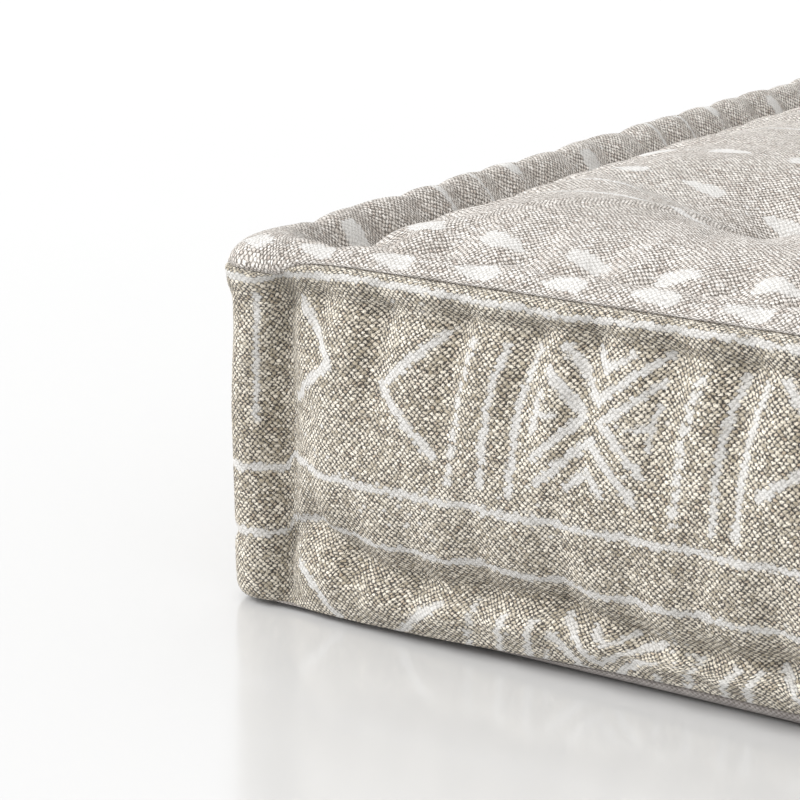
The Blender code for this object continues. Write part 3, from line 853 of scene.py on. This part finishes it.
lines = sheet_lines(TOP_INSETS, TOP_STEP)
x, y = np.meshgrid(lines, lines)
z = top_height(x, y)
size = np.maximum(np.abs(x), np.abs(y))
hem = size > HALF - 0.00245
seam = size > HALF - 0.0030
z = np.where(seam, HEIGHT - 0.0038, z)
inset = HALF - size
along = along_nearest_side(x, y)
corner = np.exp(-past_groove(along) / 0.006)
z = z - np.where(seam, CORNER_DROP * corner, 0)
# Near a corner the roll is fuller: a quarter circle from the seam up to its crest
full = np.sqrt(1 - (1 - np.clip((inset - TOP_EDGE) / QUARTER, 0, 1)) ** 2)
z = z + corner * np.where(seam | (inset > 0.0131), 0, HEIGHT - 0.0088 * (1 - full) - z)
push = 0.0040 * corner * np.exp(-np.clip(inset - TOP_EDGE, 0, None) / 0.009)
new_x, new_y = round_corners(x, y, TOP_CORNER, push)
tuck = np.where(hem, (HALF - TOP_HEM) / (HALF - TOP_INSETS[0]), 1)
z = np.where(hem, z - 0.0011, z)
points = np.stack([new_x * tuck, new_y * tuck, z], -1)
# The flat cloth is measured along one section that runs between two rows of tufts
section = np.array([lines, z[:, len(lines) // 2 + 12]]).T[1:-1]
cloth_from_front = np.concatenate([[-0.003], arc_length(section), [0]])
cloth_from_front[-1] = cloth_from_front[-2] + 0.003
cloth_from_front += 0.045 - np.interp(-HALF + 0.045, lines, cloth_from_front)
across, up = np.meshgrid(cloth_from_front, cloth_from_front)
top = new_piece("top_cloth", points, grid_faces(len(lines), len(lines)), "top_panel")
lay_out(top, across, up)
held = size > HALF - 0.0040
held |= (np.abs(inset - VALLEY_INSET) < 0.0014) & (nip(along, HIGH_STITCHES, 0.0030) > 0.5)
for tuft_x, tuft_y in TUFTS:
    held |= np.hypot(x - tuft_x, y - tuft_y) < 0.005
fill_out(top, held, 0.0026)
smooth(top)
# The top's colours are lighter than the band's, gaps most of all: partly a lighter, pinker cloth, partly
# painted light from above
top_look = printed_cloth(
    "printed_top_look",
    top_print,
    # Colour of the gaps: painted shade, set lighter here than on the band as painted light from above
    (0.17, 0.14, 0.11, 1),
    (0.62, 0.56, 0.50, 1),
    (0.98, 0.93, 0.87, 1),
    (0.70, 0.57, 0.49, 1),
    (0.74, 0.73, 0.71, 1),
)
top.data.materials.append(top_look)


# Bottom panel: plain, finely woven canvas, turned up at its edge to the band, flat on the
# floor, with a shallow stitched line inside its roll and a dent under each tuft.
UNDER_INSETS = np.concatenate([[0.0030, 0.0031], np.arange(0.0060, 0.0390, 0.0034)])
UNDER_STEP = 0.0070
UNDER_HEM = 0.0062
UNDER_LINE = 0.0265

lines = sheet_lines(UNDER_INSETS, UNDER_STEP)
x, y = np.meshgrid(lines, lines)
size = np.maximum(np.abs(x), np.abs(y))
inset = HALF - size
along = along_nearest_side(x, y)
pinch = nip(along, LOW_STITCHES, PINCH_WIDTH)
turn_up = 0.0060 * np.clip((0.0130 - inset) / 0.0100, 0, 1) ** 2.2
stitched = (0.0022 + 0.0012 * pinch) * np.exp(-(((inset - UNDER_LINE) / 0.0030) ** 2))
z = 0.0004 + turn_up + stitched
for tuft_x, tuft_y in TUFTS:
    z += 0.0100 * np.exp(-np.hypot(x - tuft_x, y - tuft_y) / 0.014)
z = z - np.where(size > HALF - 0.0035, 0.0043 * corner_sag(past_groove(along)), 0)
hem = size > HALF - 0.00305
new_x, new_y = round_corners(x, y, TOP_CORNER)
tuck = np.where(hem, (HALF - UNDER_HEM) / (HALF - UNDER_INSETS[0]), 1)
z = np.where(hem, z + 0.0004, z)
points = np.stack([new_x * tuck, new_y * tuck, z], -1)
faces_down = [face[::-1] for face in grid_faces(len(lines), len(lines))]
under = new_piece("canvas_base", points, faces_down, "bottom_panel")
lay_out(under, x + HALF, y + HALF)
smooth(under)
canvas_look, canvas_shader, start = new_material("canvas_look", 0.85, 0.15)
flat = start.node("ShaderNodeUVMap", {"uv_map": "cloth"}, {})
across = start.node("ShaderNodeSeparateXYZ", {}, {"Vector": flat})
warp = across.math("SINE", across * 1100.0 * math.pi)
weft = across.math("SINE", across.other(1) * 1100.0 * math.pi)
threads = warp * weft
slubs = start.node("ShaderNodeTexNoise", {}, {"Vector": flat, "Scale": 260.0, "Detail": 4.0})
canvas_colour = (threads * 0.35 + slubs).ramp(0.1, 0.9)
canvas_colour = canvas_colour.blend((0.17, 0.15, 0.14, 1), (0.40, 0.37, 0.35, 1))
finish_material(canvas_shader, start, canvas_colour, abs(threads) + slubs * 0.5, 0.0002)
under.data.materials.append(canvas_look)


# Roll stitches: waxed two-ply twine, sewn by hand. Each stitch lies in the groove of the side,
# goes through the cover behind the wadding, and lies again in the stitched line beyond it.
TWINE_RADIUS = 0.0008
STITCH_HALF = 0.0030


def tubes(paths, radius, around, closed):
    """Round tubes along paths: at each point a circle square to the direction from the point
    before to the point after, with two plies that turn round each other."""
    if closed:
        direction = np.roll(paths, -1, 1) - np.roll(paths, 1, 1)
    else:
        direction = np.gradient(paths, axis=1)
    direction = direction / np.linalg.norm(direction, axis=2, keepdims=True)
    first = np.cross(direction, (0.48, 0.36, 0.80))
    first = first / np.linalg.norm(first, axis=2, keepdims=True)
    second = np.cross(direction, first)
    turn = np.linspace(0, 2 * math.pi, around, endpoint=False)[:, None]
    count, length = paths.shape[:2]
    plies = 1 + 0.10 * np.cos(2 * turn - np.arange(length)[None, :, None, None] * 0.9)
    circle = first[:, :, None] * np.cos(turn) + second[:, :, None] * np.sin(turn)
    thick = np.broadcast_to(radius, (length,))[None, :, None, None]
    points = paths[:, :, None] + circle * plies * thick
    index = np.arange(count * length * around).reshape(count, length, around)
    ahead = np.roll(index, -1, 1)
    if not closed:
        index, ahead = index[:, :-1], ahead[:, :-1]
    corners = (index, np.roll(index, -1, 2), np.roll(ahead, -1, 2), ahead)
    return points, np.stack(corners, -1).reshape(-1, 4).tolist()


def quarter_turns(points):
    """The points of one side or corner, and their copies at the other three."""
    copies = []
    for turn in range(4):
        cos, sin = round(math.cos(turn * math.pi / 2)), round(math.sin(turn * math.pi / 2))
        x, y = points[..., 0], points[..., 1]
        copies.append(np.stack([x * cos - y * sin, x * sin + y * cos, points[..., 2]], -1))
    return np.concatenate(copies)


def closed_curves(knots):
    """Smooth closed curves through twelve knots each, with four points to a span."""
    around = np.concatenate([knots, knots[:, :1]], 1).transpose(1, 0, 2)
    return through(around, np.linspace(0, 12, 48, endpoint=False)).transpose(1, 0, 2)


def stitch_loops(places, outer_inset, outer_height, inner_inset, inner_height, lift):
    """Closed loops, one for each stitch: along the groove, through behind the roll, back along
    the line inside it, and home. Each is twelve knots in a plane that leans with the stitch."""
    along = np.array([-1, -0.4, 0.4, 1, 1.15, 1.15, 1, 0.4, -0.4, -1, -1.15, -1.15]) * STITCH_HALF
    inwards = np.array([0, -0.0002, -0.0002, 0, 0.35, 0.65, 1, 1, 1, 1, 0.65, 0.35])
    raised = np.array([0, 0, 0, 0, 0, 0, 0, 1, 1, 0, 0, 0]) * lift
    x = places[:, None] + along - HALF
    y = outer_inset + (inner_inset - outer_inset) * inwards - HALF + 0 * x
    z = outer_height[:, None] + (inner_height - outer_height[:, None]) * inwards + raised
    z = z + 0.0004 * along / STITCH_HALF
    return closed_curves(np.stack([x, y, z], -1))


twine_look, twine_shader, start = new_material("twine_look", 0.85, 0.2)
place = start.node("ShaderNodeTexCoord", {}, {}, "Object")
plies = start.node(
    "ShaderNodeTexWave",
    {"bands_direction": "DIAGONAL"},
    {"Vector": place, "Scale": 350.0, "Distortion": 3.0},
)
twine_colour = plies.other(1).blend((0.20, 0.16, 0.11, 1), (0.50, 0.44, 0.35, 1))
finish_material(twine_shader, start, twine_colour, plies.other(1), 0.0003)


def twine_piece(name, paths, radius, closed, *nodes):
    """A piece of twine along the paths."""
    points, faces = tubes(paths, radius, 8, closed)
    piece = new_piece(name, points, faces, *nodes)
    piece.data.materials.append(twine_look)
    return piece


high_places = HIGH_STITCHES[1:-1]
low_places = LOW_STITCHES[2:-2]
valley_low = HEIGHT - ROLL_SINK - 0.0022
high_loops = stitch_loops(high_places, 0.0077, high_groove(high_places), VALLEY_INSET, valley_low, 0.0006)
low_loops = stitch_loops(low_places, 0.0085, LOW_HEIGHTS[2:-2], UNDER_LINE, 0.0036, -0.0004)
twine_piece("roll_stitches_top", quarter_turns(high_loops), TWINE_RADIUS, True, "roll_twine_top")
twine_piece("roll_stitches_bottom", quarter_turns(low_loops), TWINE_RADIUS, True, "roll_twine_bottom")

# Corner stitches: the same twine, passed behind each upright roll from groove to groove, four
# times one above the other, and drawn tight so that the cloth folds in.
CORNER_STITCH_HEIGHTS = np.array([0.043, 0.060, 0.077, 0.094])
CORNER_STITCH_HALF = 0.0028
CORNER_STITCH_ALONG = 0.0264
CORNER_STITCH_INSET = 0.0106

up = np.array([-1, -0.4, 0.4, 1, 1.1, 1.1, 1, 0.4, -0.4, -1, -1.1, -1.1]) * CORNER_STITCH_HALF
across = np.array([0, 0, 0, 0, 0.33, 0.67, 1, 1, 1, 1, 0.67, 0.33])
behind = np.array([0, 0, 0, 0, 1, 1, 0, 0, 0, 0, 1, 1]) * 0.0022
x = CORNER_STITCH_ALONG + (CORNER_STITCH_INSET - CORNER_STITCH_ALONG) * across + behind - HALF
y = CORNER_STITCH_INSET + (CORNER_STITCH_ALONG - CORNER_STITCH_INSET) * across + behind - HALF
z = CORNER_STITCH_HEIGHTS[:, None] + up
loops = closed_curves(np.stack([x + 0 * z, y + 0 * z, z], -1))
for name, turned in zip(CORNERS, quarter_turns(loops).reshape(4, *loops.shape)):
    twine_piece("corner_stitches_" + name, turned, TWINE_RADIUS, True, "corner_twine_" + name)


# Tuft ties: the same twine, doubled, drawn down through the whole cushion at each tuft and
# wound into a flat knot above and below, which holds the dimple.
TIE_RADIUS = 0.0010
KNOT_TURNS = 2.5
KNOT_WIDTH = 0.0036

for row, tuft_y in enumerate(TUFT_AT):
    for column, tuft_x in enumerate(TUFT_AT):
        wind = np.linspace(1, 0, 90)
        turn = wind * KNOT_TURNS * 2 * math.pi + row + 2 * column
        spiral = 0.0006 + KNOT_WIDTH * wind
        x, y = tuft_x + spiral * np.cos(turn), tuft_y + spiral * np.sin(turn)
        low = np.stack([x, y, 0.0104 * np.exp(-spiral / 0.014) - 0.0012], -1)
        high = np.stack([x, y, top_height(x, y) + 0.0010], -1)
        climb = np.linspace(0, 1, 42)[1:-1, None]
        shank = low[-1] + (high[-1] - low[-1]) * climb
        shank[:, 0] = tuft_x + 0.0006 * np.cos(climb[:, 0] * 40)
        shank[:, 1] = tuft_y + 0.0006 * np.sin(climb[:, 0] * 40)
        path = np.concatenate([low, shank, high[::-1]])[None]
        ends = np.minimum(np.arange(path.shape[1]), np.arange(path.shape[1])[::-1])
        radius = TIE_RADIUS * np.clip(ends / 4, 0.03, 1) ** 0.5
        number = f"{row + 1}_{column + 1}"
        twine_piece("tuft_knot_" + number, path, radius, False, "tuft_tie_" + number)


# Floor, light and camera: a pale glossy studio floor, a white surround that lights everything
# evenly, and one broad light high on the left, a little to the front.
floor_mesh = bpy.data.meshes.new("floor")
floor_mesh.from_pydata([(-9, -9, 0), (9, -9, 0), (9, 9, 0), (-9, 9, 0)], [], [(0, 1, 2, 3)])
floor = bpy.data.objects.new("floor", floor_mesh)
bpy.context.scene.collection.objects.link(floor)
floor_look = bpy.data.materials.new("floor_look")
floor_look.use_nodes = True
floor_shader = floor_look.node_tree.nodes["Principled BSDF"]
floor_shader.inputs["Base Color"].default_value = (0.58, 0.58, 0.58, 1)
floor_shader.inputs["Roughness"].default_value = 0.16
floor_shader.inputs["IOR"].default_value = 2.2
floor_mesh.materials.append(floor_look)

world = bpy.data.worlds.new("surround")
bpy.context.scene.world = world
world.use_nodes = True
world.node_tree.nodes["Background"].inputs["Color"].default_value = (1.0, 1.0, 1.0, 1)
world.node_tree.nodes["Background"].inputs["Strength"].default_value = 1.04

LIGHT_EAST, LIGHT_NORTH, LIGHT_HIGH = -0.62, -0.46, 0.62
light = bpy.data.lights.new("broad_light", "SUN")
light.energy = 3.2
light.angle = math.radians(40)
lamp = bpy.data.objects.new("broad_light", light)
bpy.context.scene.collection.objects.link(lamp)
light_tilt = math.atan2(math.hypot(LIGHT_EAST, LIGHT_NORTH), LIGHT_HIGH)
light_turn = math.atan2(LIGHT_NORTH, LIGHT_EAST) + math.pi / 2
lamp.rotation_euler = (light_tilt, 0, light_turn)

CAMERA_AT = (0.2312, -0.9721, 0.3126)
CAMERA_TURN = 34.05
CAMERA_ABOVE = 15.68
lens = bpy.data.cameras.new("camera")
lens.lens = 115.7
lens.sensor_width = 36
camera = bpy.data.objects.new("camera", lens)
camera.location = CAMERA_AT
camera.rotation_euler = (math.radians(90 - CAMERA_ABOVE), 0, math.radians(CAMERA_TURN))
bpy.context.scene.collection.objects.link(camera)
bpy.context.scene.camera = camera
bpy.context.scene.view_settings.view_transform = "Standard"
